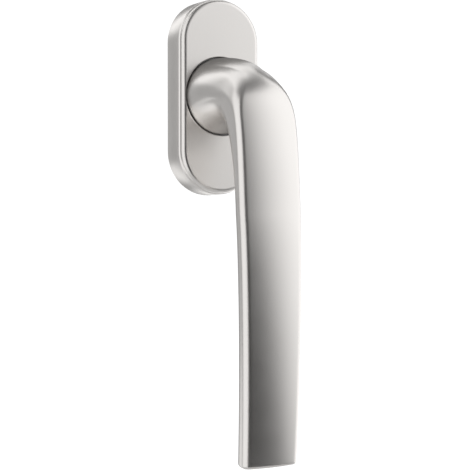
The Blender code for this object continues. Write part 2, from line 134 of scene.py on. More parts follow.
def block(name, low, high):
    bm = bmesh.new()
    middle = Matrix.Translation((Vector(low) + Vector(high)) / 2)
    size = Matrix.Diagonal((*(Vector(high) - Vector(low)), 1))
    bmesh.ops.create_cube(bm, size=1, matrix=middle @ size)
    return finishMesh(bm, name)


# An (across, up) outline drawn out from one depth to another.
def stamped(name, outline, back, front):
    return loft(name, [[at(x, depth, z) for x, z in outline] for depth in (back, front)])


# Cuts the cutters, each a (mesh, place, turn), out of a mesh.
def carve(mesh, cutters):
    blank = bpy.data.objects.new("blank", mesh)
    bpy.context.scene.collection.objects.link(blank)
    tools = []
    for cutter, place, turn in cutters:
        tool = bpy.data.objects.new("tool", cutter)
        tool.location = place
        tool.rotation_euler = turn
        bpy.context.scene.collection.objects.link(tool)
        modifier = blank.modifiers.new("cut", "BOOLEAN")
        modifier.operation = "DIFFERENCE"
        modifier.solver = "EXACT"
        modifier.object = tool
        tools.append(tool)
    bpy.context.view_layer.update()
    graph = bpy.context.evaluated_depsgraph_get()
    result = bpy.data.meshes.new_from_object(blank.evaluated_get(graph))
    result.name = mesh.name
    for spare in [blank] + tools:
        bpy.data.objects.remove(spare, do_unlink=True)
    result.shade_smooth()
    result.set_sharp_from_angle(angle=math.radians(32))
    return result


# Puts a finished mesh in the scene in place of its CAD node.
def fitPiece(name, mesh, node, body, slot, place=(0, 0, 0), turn=(0, 0, 0)):
    piece = bpy.data.objects.new(name, mesh)
    piece.location = place
    piece.rotation_euler = turn
    bpy.context.scene.collection.objects.link(piece)
    bpy.context.view_layer.update()
    mesh.materials.clear()
    mesh.materials.append(finishes[slot])
    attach(piece, body)
    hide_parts(node)
    return piece


def roundEdges(piece, width, segments=2, angle=35):
    modifier = piece.modifiers.new("rounded edges", "BEVEL")
    modifier.width = width
    modifier.segments = segments
    modifier.limit_method = "ANGLE"
    modifier.angle_limit = math.radians(angle)
    modifier.harden_normals = True
    return piece


# Finishes


# A node with its inputs, which are numbers, colours or other nodes' outputs.
def addNode(tree, kind, inputs={}, **settings):
    node = tree.nodes.new("ShaderNode" + kind)
    for name, value in settings.items():
        setattr(node, name, value)
    for name, value in inputs.items():
        if isinstance(value, bpy.types.NodeSocket):
            tree.links.new(value, node.inputs[name])
        else:
            node.inputs[name].default_value = value
    return node


# Noise in the piece's own space, in grains per metre.
def grain(tree, coordinates, size, detail=3.0, roughness=0.55):
    inputs = {"Vector": coordinates, "Scale": 1 / size, "Detail": detail, "Roughness": roughness}
    return addNode(tree, "TexNoise", inputs).outputs["Fac"]


def spread(tree, value, low, high, start=0.3, end=0.7):
    inputs = {"Value": value, "From Min": start, "From Max": end, "To Min": low, "To Max": high}
    return addNode(tree, "MapRange", inputs).outputs["Result"]


def tint(tree, share, first, second):
    inputs = {"Factor": share, "A": first, "B": second}
    return addNode(tree, "Mix", inputs, data_type="RGBA").outputs["Result"]


# A metal or plastic with cloudy colour, patchy gloss, a fine grain and worn edges.
def makeFinish(name, look):
    material = bpy.data.materials.new(name)
    material.use_nodes = True
    tree = material.node_tree
    shader = tree.nodes["Principled BSDF"]
    shader.inputs["Metallic"].default_value = look["metallic"]
    places = addNode(tree, "TexCoord").outputs["Object"]
    grained = places
    if "brushed" in look:
        grained = addNode(tree, "Mapping", {"Vector": places, "Scale": look["brushed"]}).outputs["Vector"]
    clouds = spread(tree, grain(tree, places, look["cloudSize"]), 0, 1)
    colour = tint(tree, clouds, (*look["colour"], 1), (*look["cloudColour"], 1))
    if look["wear"]:
        rounded = addNode(tree, "Bevel", {"Radius": look["wearWidth"]}, samples=6).outputs["Normal"]
        straight = addNode(tree, "NewGeometry").outputs["Normal"]
        turn = addNode(tree, "VectorMath", {0: rounded, 1: straight}, operation="DOT_PRODUCT")
        edges = spread(tree, turn.outputs["Value"], 0, look["wear"], *wornTurn)
        colour = tint(tree, edges, colour, (*look["wornColour"], 1))
    tree.links.new(colour, shader.inputs["Base Color"])

    smudges = grain(tree, places, look["smudgeSize"], detail=2.0)
    roughness, patchy = look["roughness"], look["patchy"]
    gloss = spread(tree, smudges, roughness - patchy, roughness + patchy)
    tree.links.new(gloss, shader.inputs["Roughness"])

    fine = grain(tree, grained, look["grainSize"], detail=4.0, roughness=0.7)
    inputs = {"Height": fine, "Strength": look["grainStrength"], "Distance": look["grainDepth"]}
    tree.links.new(addNode(tree, "Bump", inputs).outputs["Normal"], shader.inputs["Normal"])
    return material


wornTurn = 0.99, 0.93  # cosine of an edge's turn where wear starts, and where it is full
# Blasted and anodised: even, warm grey, with a very fine matt grain.
satinLook = {
    "colour": (0.764, 0.742, 0.720),
    "cloudColour": (0.785, 0.764, 0.744),
    "cloudSize": 18 * mm,
    "metallic": 1.0,
    "roughness": 0.30,
    "patchy": 0.012,
    "smudgeSize": 9 * mm,
    "grainSize": 0.16 * mm,
    "grainDepth": 0.004 * mm,
    "grainStrength": 0.5,
    "wear": 0,
}
zincLook = {
    "colour": (0.46, 0.47, 0.48),
    "cloudColour": (0.36, 0.365, 0.375),
    "cloudSize": 3 * mm,
    "metallic": 0.95,
    "roughness": 0.46,
    "patchy": 0.09,
    "smudgeSize": 2 * mm,
    "grainSize": 0.35 * mm,
    "grainDepth": 0.02 * mm,
    "grainStrength": 0.5,
    "wear": 0.6,
    "wearWidth": 0.2 * mm,
    "wornColour": (0.66, 0.67, 0.68),
}
platedLook = {
    "colour": (0.68, 0.69, 0.70),
    "cloudColour": (0.60, 0.62, 0.66),
    "cloudSize": 2.5 * mm,
    "metallic": 1.0,
    "roughness": 0.27,
    "patchy": 0.06,
    "smudgeSize": 1.5 * mm,
    "grainSize": 0.12 * mm,
    "grainDepth": 0.006 * mm,
    "grainStrength": 0.4,
    "wear": 0.5,
    "wearWidth": 0.12 * mm,
    "wornColour": (0.8, 0.8, 0.8),
}
springLook = {
    "colour": (0.23, 0.235, 0.25),
    "cloudColour": (0.31, 0.30, 0.29),
    "cloudSize": 1.6 * mm,
    "metallic": 1.0,
    "roughness": 0.33,
    "patchy": 0.07,
    "smudgeSize": 1.0 * mm,
    "grainSize": 0.08 * mm,
    "grainDepth": 0.004 * mm,
    "grainStrength": 0.4,
    "brushed": (1, 6, 1),
    "wear": 0.5,
    "wearWidth": 0.12 * mm,
    "wornColour": (0.5, 0.5, 0.5),
}
polymerLook = {
    "colour": (0.055, 0.058, 0.062),
    "cloudColour": (0.075, 0.077, 0.08),
    "cloudSize": 2.0 * mm,
    "metallic": 0.0,
    "roughness": 0.48,
    "patchy": 0.07,
    "smudgeSize": 1.2 * mm,
    "grainSize": 0.14 * mm,
    "grainDepth": 0.012 * mm,
    "grainStrength": 0.6,
    "wear": 0.25,
    "wearWidth": 0.2 * mm,
    "wornColour": (0.16, 0.16, 0.165),
}
finishes = {
    "satin_aluminium": makeFinish("blasted_satin", satinLook),
    "die_cast_zinc": makeFinish("raw_casting", zincLook),
    "plated_steel": makeFinish("bright_plate", platedLook),
    "spring_steel": makeFinish("dark_spring", springLook),
    "grey_polymer": makeFinish("moulded_grey", polymerLook),
}
print("finishes mixed")


# The lever: a round neck that bends down into a flat grip.

coverSpan = spanOf("cover_cap")
leverSpan = spanOf("lever")
leverShape = {
    "neckRadius": leverSpan["top"],
    "shoulder": 10.1 * mm,  # depth where the neck steps in to its journal
    "journalRadius": 7.0 * mm,
    "flat": 6.0 * mm,  # from the axis to each of the journal's two flats
    "grooveRadius": 6.0 * mm,
    "gripFront": 49.1 * mm,
    "gripThickness": 9.7 * mm,
    "gripWidth": 21.8 * mm,
    "tipWidth": 19.5 * mm,
    "bow": 1.15 * mm,
    "tipBack": 0.7 * mm,
    "bendDrop": 40.0 * mm,
    "tipDrop": 119.5 * mm,
    "crownRadius": 40.0 * mm,  # of the grip's front, across it
    "frontRadius": 2.6 * mm,
    "backAcross": 4.5 * mm,  # the longer, softer corners behind
    "backAlong": 6.0 * mm,
    "fullest": 0.95,  # of the section's half size, the corner radius near the neck
    "tipRadius": 1.2 * mm,
    "edge": 0.25 * mm,
    "overNeck": (0.7 * mm, 2.1 * mm),  # the bend's outer curve leaves short of the grip, and below the neck
    "overGrip": (2.7 * mm, 7.9 * mm),  # and arrives from behind the grip's front, below the axis
    "underNeck": (13.4 * mm, 4.2 * mm),  # its inner curve leaves out from the rosette, and above
    "underGrip": (2.2 * mm, 1.2 * mm),  # and arrives from behind the grip's back, below the axis
    "roundUntil": 0.5,  # shares of the bend
    "wideUntil": 0.45,
    "frontCorner": (0.3, 0.635),
    "backCornerFrom": 0.3,
    "gripHandles": (0.22, 0.66),  # shares of the grip's length
    "upperBow": 1.26,
    "cornerSteps": 16,
    "bendRings": 110,
    "gripRings": 70,
    "tipRings": 10,
}


# Half of the grip's section, from the middle of its crowned front round to its back.
def halfSection(shape, halfWidth, halfThick, frontRadius, backAcross, backAlong):
    steps = shape["cornerSteps"]
    crown = shape["crownRadius"]
    crownCentre = halfThick - crown
    reach = halfWidth - frontRadius
    frontCentre = crownCentre + math.sqrt((crown - frontRadius) ** 2 - reach**2)
    lean = math.asin(reach / (crown - frontRadius))
    backCentre = backAlong - halfThick
    points = []
    for k in range(steps):
        a = lean * k / steps
        points.append((crown * math.sin(a), crownCentre + crown * math.cos(a)))
    for k in range(steps):
        a = between(lean, math.pi / 2, k / steps)
        points.append((reach + frontRadius * math.sin(a), frontCentre + frontRadius * math.cos(a)))
    for k in range(steps // 2):
        points.append((halfWidth, between(frontCentre, backCentre, 2 * k / steps)))
    for k in range(steps):
        a = math.pi / 2 * k / steps
        x = halfWidth - backAcross + backAcross * math.cos(a)
        points.append((x, backCentre - backAlong * math.sin(a)))
    for k in range(steps // 2 + 1):
        points.append(((halfWidth - backAcross) * (1 - 2 * k / steps), -halfThick))
    return points


def halfOval(halfWidth, halfThick, count):
    angles = [math.pi * k / (count - 1) for k in range(count)]
    return [(halfWidth * math.sin(a), halfThick * math.cos(a)) for a in angles]


def mirrored(points):
    return points + [(-x, e) for x, e in points[-2:0:-1]]


# A section laid across the line from an inner to an outer (depth, up) point.
def sectionRing(outer, inner, points):
    middle = (outer + inner) / 2
    out = (outer - inner).normalized()
    return [at(x, middle.x + out.x * e, middle.y + out.y * e) for x, e in mirrored(points)]


# The square socket, the journal with its groove, and the shoulder behind the neck.
def neckRings(shape, count):
    half = spanOf("spindle")["right"] + gap
    end = leverSpan["back"]
    stack = spanOf("retaining_ring")
    grooveBack = stack["back"] - gap / 2
    grooveFront = stack["front"] + gap / 2
    flatEnd = spanOf("detent_ring")["front"] + gap
    radius = shape["journalRadius"]
    edge = shape["edge"]
    floor = spanOf("spindle")["front"] + gap
    angles = [math.pi / 2 - 2 * math.pi * k / (2 * count - 2) for k in range(2 * count - 2)]
    rings = []
    for depth, reach in ((floor, half), (end + edge, half), (end, half + edge)):
        ring = []
        for a in angles:
            r = reach / max(abs(math.cos(a)), abs(math.sin(a)))
            ring.append(at(r * math.cos(a), depth, r * math.sin(a)))
        rings.append(ring)
    profile = [
        (end, radius - edge),
        (end + edge, radius),
        (grooveBack, radius),
        (grooveBack, shape["grooveRadius"]),
        (grooveFront, shape["grooveRadius"]),
        (grooveFront, radius),
        (flatEnd, radius),
        (flatEnd + edge / 5, radius),
        (shape["shoulder"], radius),
        (shape["shoulder"], shape["neckRadius"] - edge),
        (shape["shoulder"] + edge / 3, shape["neckRadius"] - edge / 3),
        (shape["shoulder"] + edge, shape["neckRadius"]),
    ]
    for depth, r in profile:
        flat = shape["flat"] if depth <= flatEnd else r
        points = [(min(x, flat), z) for x, z in halfOval(r, r, count)]
        rings.append([at(x, depth, z) for x, z in mirrored(points)])
    return rings


def bendRings(shape):
    front, back = shape["gripFront"], shape["gripFront"] - shape["gripThickness"]
    radius, drop = shape["neckRadius"], shape["bendDrop"]
    face, count = coverSpan["front"], shape["bendRings"]
    short, fall = shape["overNeck"]
    behind, below = shape["overGrip"]
    leaving, arriving = Vector((front - short, radius - fall)), Vector((front - behind, -below))
    outer = interpolate_bezier(Vector((face, radius)), leaving, arriving, Vector((front, -drop)), count)
    out, rise = shape["underNeck"]
    behind, below = shape["underGrip"]
    leaving, arriving = Vector((face + out, rise - radius)), Vector((back - behind, -below))
    inner = interpolate_bezier(Vector((face, -radius)), leaving, arriving, Vector((back, -drop)), count)
    cornerFrom, cornerUntil = shape["frontCorner"]
    rings = []
    for k in range(count):
        share = k / (count - 1)
        halfThick = (outer[k] - inner[k]).length / 2
        halfWidth = between(radius, shape["gripWidth"] / 2, eased(share / shape["wideUntil"]))
        fullest = shape["fullest"] * min(halfWidth, halfThick)
        frontFull = eased((cornerUntil - share) / (cornerUntil - cornerFrom))
        frontRadius = between(shape["frontRadius"], fullest, frontFull)
        backFull = eased((1 - share) / (1 - shape["backCornerFrom"]))
        backAcross = between(shape["backAcross"], fullest, backFull)
        backAlong = between(shape["backAlong"], fullest, backFull)
        corners = frontRadius, backAcross, backAlong
        flatter = halfSection(shape, halfWidth, halfThick, *corners)
        rounder = halfOval(halfWidth, halfThick, len(flatter))
        roundness = eased(1 - share / shape["roundUntil"])
        points = [
            (between(x, rx, roundness), between(e, re, roundness))
            for (x, e), (rx, re) in zip(flatter, rounder)
        ]
        rings.append(sectionRing(outer[k], inner[k], points))
    return rings, len(points)


# Down the grip, which bows gently forwards, and round the edge of its tip.
def gripRings(shape):
    drop, radius = shape["bendDrop"], shape["tipRadius"]
    low, bow, count = radius - shape["tipDrop"], shape["bow"], shape["gripRings"]
    upper, lower = [between(-drop, low, share) for share in shape["gripHandles"]]
    curves = []
    for start in (shape["gripFront"], shape["gripFront"] - shape["gripThickness"]):
        high, foot = Vector((start, -drop)), Vector((start - shape["tipBack"], low))
        handles = Vector((start + shape["upperBow"] * bow, upper)), Vector((start + bow, lower))
        curves.append(interpolate_bezier(high, *handles, foot, count))
    stations = []
    for k in range(1, count):
        halfWidth = between(shape["gripWidth"], shape["tipWidth"], k / (count - 1)) / 2
        stations.append((curves[0][k], curves[1][k], halfWidth, 0))
    for k in range(1, shape["tipRings"] + 1):
        lean = math.pi / 2 * k / shape["tipRings"]
        down = Vector((0, -radius * math.sin(lean)))
        inset = radius * (1 - math.cos(lean))
        stations.append((curves[0][-1] + down, curves[1][-1] + down, shape["tipWidth"] / 2, inset))
    rings = []
    for outer, inner, halfWidth, inset in stations:
        halfThick = (outer - inner).length / 2 - inset
        corners = [shape[name] - inset for name in ("frontRadius", "backAcross", "backAlong")]
        points = halfSection(shape, halfWidth - inset, halfThick, *corners)
        rings.append(sectionRing(outer, inner, points))
    return rings


def makeLever(shape):
    bend, count = bendRings(shape)
    mesh = loft("lever", neckRings(shape, count) + bend + gripRings(shape))
    fitPiece("satin_lever", mesh, "lever", "lever", "satin_aluminium")


makeLever(leverShape)
print("lever lofted")


# The rosette's cover: a deep stadium-shaped cap with a softly rounded rim.

coverShape = {
    "wall": 1.4 * mm,
    "draft": 0.25 * mm,
    "step": 0.36 * mm,  # the fine ledge where the wall ends and the rim begins
    "riser": 0.6 * mm,
    "rimRadius": 1.6 * mm,
    "innerChamfer": 1.2 * mm,
    "holeEdge": 0.3 * mm,
    "backEdge": 0.2 * mm,
    "fine": 0.05 * mm,  # of the narrow faces that keep an edge crisp
    "rimSteps": 14,
    "endSteps": 96,
    "sideSteps": 64,
}
straightHalf = coverSpan["top"] - coverSpan["right"]


def stadium(halfWidth, steps, sideSteps=1):
    points = []
    for start, middle in ((0, straightHalf), (math.pi, -straightHalf)):
        for k in range(steps + 1):
            a = start + math.pi * k / steps
            points.append((halfWidth * math.cos(a), middle + halfWidth * math.sin(a)))
        side = halfWidth * math.cos(start + math.pi)
        points += [(side, between(middle, -middle, k / sideSteps)) for k in range(1, sideSteps)]
    return points


# The neck's hole, with one point for each point of the stadium, and facing the same way.
def roundHole(radius, steps, sideSteps):
    ring = []
    for x, z in stadium(coverSpan["right"], steps, sideSteps):
        a = math.atan2(z, x)
        ring.append((radius * math.cos(a), radius * math.sin(a)))
    return ring


def makeCover(shape):
    steps = shape["endSteps"], shape["sideSteps"]
    halfWidth, face = coverSpan["right"], coverSpan["front"]
    draft, step, radius = shape["draft"], shape["step"], shape["rimRadius"]
    ledge = face - radius - shape["riser"]
    rim = draft + step
    roof = spanOf("base_plate")["front"] + gap
    edge = shape["backEdge"]
    fine = shape["fine"]
    profile = [(edge, 0), (edge / 3, edge / 3), (0, edge)]
    profile += [(draft - 0.4 * fine, ledge - step - fine), (draft, ledge - step)]
    profile += [(rim - fine, ledge - fine), (rim, ledge), (rim, ledge + fine), (rim, face - radius)]
    for k in range(1, shape["rimSteps"] + 1):
        lean = math.pi / 2 * k / shape["rimSteps"]
        profile.append((rim + radius * (1 - math.cos(lean)), face - radius + radius * math.sin(lean)))
    profile.append((rim + radius + 2 * fine, face))
    hole = leverShape["neckRadius"] + gap
    holeEdge = shape["holeEdge"]
    mouth = hole + holeEdge + 2 * fine

    # How far the rounded rim has fallen at the hole's mouth, which reaches into it at its sides.
    def fallen(across):
        run = min(halfWidth - abs(across) - rim, radius)
        return radius - math.sqrt(radius**2 - (radius - run) ** 2)

    falls = [fallen(x) for x, z in roundHole(mouth, *steps)]
    bore = [
        (mouth, face),
        (hole + holeEdge, face),
        (hole + holeEdge / 3, face - holeEdge / 3),
        (hole, face - holeEdge),
    ]
    throat = []
    for r, depth in bore:
        throat.append([at(x, depth - fall, z) for (x, z), fall in zip(roundHole(r, *steps), falls)])
    throat.append([at(x, roof, z) for x, z in roundHole(hole, *steps)])
    outside = []
    for inset, depth in profile:
        line = stadium(halfWidth - inset, *steps)
        ring = [at(x, depth, z) for x, z in line]
        for k, spot in enumerate(line):
            if math.hypot(*spot) < mouth:
                ring[k] = throat[0][k]
        outside.append(ring)
    inner = halfWidth - draft - shape["wall"]
    chamfer = shape["innerChamfer"]
    hollow = [
        (inner - chamfer + gap, roof),
        (inner, roof - chamfer),
        (halfWidth - shape["wall"], edge),
        (halfWidth - shape["wall"] + edge, 0),
    ]
    inside = []
    for half, depth in hollow:
        ring = []
        for x, z in stadium(half, *steps):
            out = max(1, (hole + fine) / math.hypot(x, z))  # the roof ends outside the hole
            ring.append(at(x * out, depth, z * out))
        inside.append(ring)
    mesh = loft("cover", outside + throat + inside, joined=True, sharpAngle=28)
    fitPiece("rosette_cover", mesh, "cover_cap", "cover", "satin_aluminium")


makeCover(coverShape)
print("cover pressed")


# The base under the cover: a zinc casting that holds everything else.

baseSpan = spanOf("base_plate")
bushSpan = spanOf("neck_bush")
ringSpan = spanOf("detent_ring")
screwSpan = spanOf("fixing_screw_upper")
pegSpan = spanOf("support_peg_upper")
ballSpan = spanOf("detent_ball_upper")
springSpan = spanOf("detent_spring_upper")
clipSpan = spanOf("cover_clip_right")
screwUp = screwSpan["middle"].z
ballRadius = ballSpan["right"]
ballDepth = -ballSpan["middle"].y
baseShape = {
    "chamfer": 1.2 * mm,
    "footEdge": 0.25 * mm,
    "chamberRadius": 10.1 * mm,
    "bushRadius": 8.6 * mm,
    "bushFlange": 0.9 * mm,
    "screwBore": 2.8 * mm,
    "ballBoreFrom": 9.1 * mm,  # from the axis
    "seatRadius": 3.9 * mm,  # of a peg's spigot, and its seat in the back
    "cone": 2.0 * mm,
    "headRim": 0.3 * mm,
    "pocketRadius": 2.4 * mm,
    "pocketDepth": 6.8 * mm,
    "pocketPlace": (8.2 * mm, 16.0 * mm),
    "markRadius": 1.25 * mm,  # round marks from the die's ejector pins
    "markDepth": 0.15 * mm,
    "markPlace": (8.6 * mm, 15.2 * mm),
    "edge": 0.1 * mm,
}


def makeBase(shape):
    half, face = baseSpan["right"], baseSpan["front"]
    foot, chamfer = shape["footEdge"], shape["chamfer"]
    soft = foot / 5
    profile = [
        (foot, 0),
        (foot / 3, foot / 3),
        (0, foot),
        (soft, face - chamfer - soft),
        (2 * soft, face - chamfer + soft),
        (chamfer - soft, face - 2 * soft),
        (chamfer, face),
    ]
    mesh = loft("base", [[at(x, d, z) for x, z in stadium(half - inset, 48)] for inset, d in profile])
    recess = bushSpan["front"] - shape["bushFlange"] - gap
    hub = turned(
        "hub",
        [
            (shape["chamberRadius"], -overshoot),
            (shape["chamberRadius"], bushSpan["back"]),
            (shape["bushRadius"] + gap, bushSpan["back"]),
            (shape["bushRadius"] + gap, recess),
            (bushSpan["right"] + gap, recess),
            (bushSpan["right"] + gap, face + overshoot),
        ],
    )
    seat, bore = shape["seatRadius"] + gap, shape["screwBore"]
    rim = screwSpan["front"] - shape["headRim"]
    screwHole = turned(
        "screw_hole",
        [
            (seat, -overshoot),
            (seat, pegSpan["front"] + gap),
            (bore, pegSpan["front"] + gap),
            (bore, rim - shape["cone"]),
            (screwSpan["right"] + gap, rim),
            (screwSpan["right"] + gap, face + overshoot),
        ],
        steps=64,
    )
    reach = ballRadius + gap
    ballHole = upright("ball_hole", [(reach, shape["ballBoreFrom"]), (reach, springSpan["top"] + gap)])
    radius, deep = shape["pocketRadius"], shape["pocketDepth"]
    pocket = turned("pocket", [(radius, -overshoot), (radius, deep - gap), (radius - gap, deep)], 40)
    markFloor = face - shape["markDepth"]
    mark = turned("mark", [(shape["markRadius"], markFloor), (shape["markRadius"], face + gap)], 40)
    across, up = clipSpan["left"], clipSpan["top"]
    along = (clipSpan["front"] - clipSpan["back"]) / 2
    slotLow = (across - gap, -along - gap, -up - gap)
    slot = block("clip_slot", slotLow, (half + overshoot, along + gap, up + gap))
    flat, still = (0, 0, 0), Vector()
    cutters = [(hub, still, flat)]
    for side, turn in ((1, 0), (-1, math.pi)):
        cutters.append((screwHole, (0, 0, side * screwUp), flat))
        cutters.append((ballHole, at(0, ballDepth, 0), (0, turn, 0)))
        cutters.append((slot, at(0, ballDepth, 0), (0, 0, turn)))
        for way in (1, -1):
            x, z = shape["pocketPlace"]
            cutters.append((pocket, at(way * x, 0, side * z), flat))
            x, z = shape["markPlace"]
            cutters.append((mark, at(way * x, 0, side * z), flat))
    piece = fitPiece("zinc_base", carve(mesh, cutters), "base_plate", "base", "die_cast_zinc")
    roundEdges(piece, shape["edge"])


makeBase(baseShape)
print("base cast")


# The bush that the neck turns in, with a grease groove round its bore.

bushShape = {"bore": 7.3 * mm, "edge": 0.15 * mm, "groove": 0.2 * mm}


def makeBush(shape):
    bore, edge, groove = shape["bore"], shape["edge"], shape["groove"]
    barrel, rim = baseShape["bushRadius"], bushSpan["right"]
    back, face = bushSpan["back"], bushSpan["front"]
    under, middle = face - baseShape["bushFlange"], (back + face) / 2
    profile = [
        (bore + edge, back),
        (barrel - edge, back),
        (barrel, back + edge),
        (barrel, under),
        (rim - edge, under),
        (rim, under + edge),
        (rim, face - edge),
        (rim - edge, face),
        (bore + edge, face),
        (bore, face - edge),
        (bore, middle + 2 * groove),
        (bore + groove, middle + groove),
        (bore + groove, middle - groove),
        (bore, middle - 2 * groove),
        (bore, back + edge),
    ]
    mesh = turned("bush", profile, joined=True)
    fitPiece("moulded_bush", mesh, "neck_bush", "base", "grey_polymer")


makeBush(bushShape)
print("bush moulded")


# Two countersunk screws with a cross recess and a rolled thread.

screwShape = {
    "shank": 2.5 * mm,
    "threadFrom": 0.5 * mm,  # depth where the plain shank ends
    "pitch": 1.0 * mm,
    "threadDepth": 0.42 * mm,
    "flank": 2.6,  # steepness of the thread's flanks
    "point": 3.0 * mm,
    "pointSlims": 0.5,  # share of its radius
    "cross": (4.8 * mm, 1.0 * mm),  # span and width of the recess at the top
    "crossDepth": 1.9 * mm,
    "crossTaper": (0.55, 0.8),  # of its span and width, at its floor
    "headEdge": 0.12 * mm,
    "steps": 40,
    "turnRings": 10,
}


def crossOutline(span, width):
    far, near = span / 2, width / 2
    quarter = [(far, -near), (far, near), (near, near)]
    points = []
    for turn in range(4):
        for x, z in quarter:
            for _ in range(turn):
                x, z = -z, x
            points.append((x, z))
    return points


def makeScrews(shape):
    top, tip, head = screwSpan["front"], screwSpan["back"], screwSpan["right"]
    shank, edge, rim = shape["shank"], shape["headEdge"], top - baseShape["headRim"]
    depths = [(head - edge, top), (head, top - edge), (head, rim), (shank + edge, rim - head + shank + edge)]
    depths += [(shank, rim - head + shank - edge), (shank, shape["threadFrom"])]
    rings = [circle(radius, depth, shape["steps"]) for radius, depth in depths]
    count = round((shape["threadFrom"] - tip) / shape["pitch"] * shape["turnRings"])
    for k in range(1, count + 1):
        depth = between(shape["threadFrom"], tip, k / count)
        slim = 1 - shape["pointSlims"] * max(0, 1 - (depth - tip) / shape["point"])
        start = min(1, k / (2 * shape["turnRings"]))
        ring = []
        for a in turnsOf(shape["steps"]):
            phase = (depth / shape["pitch"] + a / (2 * math.pi)) % 1
            cutIn = shape["threadDepth"] * start * min(1, shape["flank"] * min(phase, 1 - phase))
            radius = (shank - cutIn) * slim
            ring.append(at(radius * math.cos(a), depth, radius * math.sin(a)))
        rings.append(ring)
    mesh = loft("screw", rings)
    span, width = shape["cross"]
    shorter, thinner = shape["crossTaper"]
    floor = top - shape["crossDepth"]
    wide = [at(x, top + gap, z) for x, z in crossOutline(span, width)]
    narrow = [at(x, floor, z) for x, z in crossOutline(span * shorter, width * thinner)]
    drive = loft("cross", [wide, narrow])
    mesh = carve(mesh, [(drive, Vector(), (0, 0, 0))])
    for name, side in (("upper", 1), ("lower", -1)):
        place = (0, 0, side * screwUp)
        fitPiece(f"screw_{name}", mesh, f"fixing_screw_{name}", "base", "plated_steel", place)


makeScrews(screwShape)
print("screws rolled")


# Two moulded pegs round the screws, with crush ribs that grip the sash.

pegShape = {
    "ribs": 8,
    "ribHeight": 0.25 * mm,
    "chamfer": 0.8 * mm,
    "edge": 0.15 * mm,
    "steps": 128,
}


def makePegs(shape):
    outer, bore, spigot = pegSpan["right"], baseShape["screwBore"], baseShape["seatRadius"]
    edge, low, high = shape["edge"], pegSpan["back"], pegSpan["front"]

    def ring(radius, depth, ribbed=0):
        points = []
        for a in turnsOf(shape["steps"]):
            valley = eased(1.6 * abs(math.sin(shape["ribs"] * a / 2)) - 0.3)
            r = radius - ribbed * shape["ribHeight"] * valley
            points.append(at(r * math.cos(a), depth, r * math.sin(a)))
        return points

    rings = [
        ring(bore, low + edge),
        ring(bore + edge, low),
        ring(outer - shape["chamfer"] - edge, low),
        ring(outer - shape["chamfer"], low + edge / 2),
        ring(outer, low + shape["chamfer"], 1),
        ring(outer, -6 * edge, 1),
        ring(outer, -5 * edge),
        ring(outer, -gap - edge),
        ring(outer - edge, -gap),
        ring(spigot, -gap),
        ring(spigot, high - edge),
        ring(spigot - edge, high),
        ring(bore + edge, high),
        ring(bore, high - edge),
    ]
    mesh = loft("peg", rings, joined=True)
    for name, side in (("upper", 1), ("lower", -1)):
        place = (0, 0, side * screwUp)
        fitPiece(f"peg_{name}", mesh, f"support_peg_{name}", "base", "grey_polymer", place)


makePegs(pegShape)
print("pegs moulded")


# Leaf springs: two that grip the cover, and one that takes up the spindle's play.

leafShape = {
    "cover": {"sheet": 0.4 * mm, "bow": 0.6 * mm},
    "spindle": {"sheet": 0.3 * mm, "bow": 0.3 * mm},
    "steps": 28,
    "narrowing": 0.22,  # how much its ends narrow, as a share of its width
    "edge": 0.05 * mm,
}


# A leaf along Z, bowed towards +X, with its ends' inner face at x = 0.
def leaf(name, length, width, sheet, bow):
    rings = []
    for k in range(leafShape["steps"] + 1):
        share = 2 * k / leafShape["steps"] - 1
        x = bow * (1 - share**2)
        half = width / 2 * (1 - leafShape["narrowing"] * share**8)
        corners = ((x, -half), (x + sheet, -half), (x + sheet, half), (x, half))
        rings.append([Vector((out, side, share * length / 2)) for out, side in corners])
    return loft(name, rings)


def makeCoverClips(shape):
    length = clipSpan["top"] - clipSpan["bottom"]
    width = clipSpan["front"] - clipSpan["back"]
    mesh = leaf("clip", length, width, shape["sheet"], shape["bow"])
    for name, side, turn in (("right", 1, 0), ("left", -1, math.pi)):
        place = at(side * clipSpan["left"], ballDepth, 0)
        node = f"cover_clip_{name}"
        piece = fitPiece(f"clip_{name}", mesh, node, "base", "spring_steel", place, (0, 0, turn))
        roundEdges(piece, leafShape["edge"])


def makeSpindleClip(shape):
    span = spanOf("spindle_clip")
    length = span["front"] - span["back"]
    mesh = leaf("spindle_leaf", length, 2 * span["right"], shape["sheet"], shape["bow"])
    place = at(0, -span["middle"].y, span["bottom"])
    turn = Matrix(((0, 1, 0), (0, 0, 1), (1, 0, 0))).to_euler()
    piece = fitPiece("spindle_leaf", mesh, "spindle_clip", "lever", "spring_steel", place, turn)
    roundEdges(piece, leafShape["edge"])


makeCoverClips(leafShape["cover"])
makeSpindleClip(leafShape["spindle"])
print("leaf springs bent")


# The detent: two steel balls, each with a coil spring behind it.

coilShape = {"wire": 0.21 * mm, "turns": 4, "endSlims": 0.55, "steps": 44, "sides": 14}
ballShape = {"steps": 64, "rings": 40, "poleFlat": 0.06}


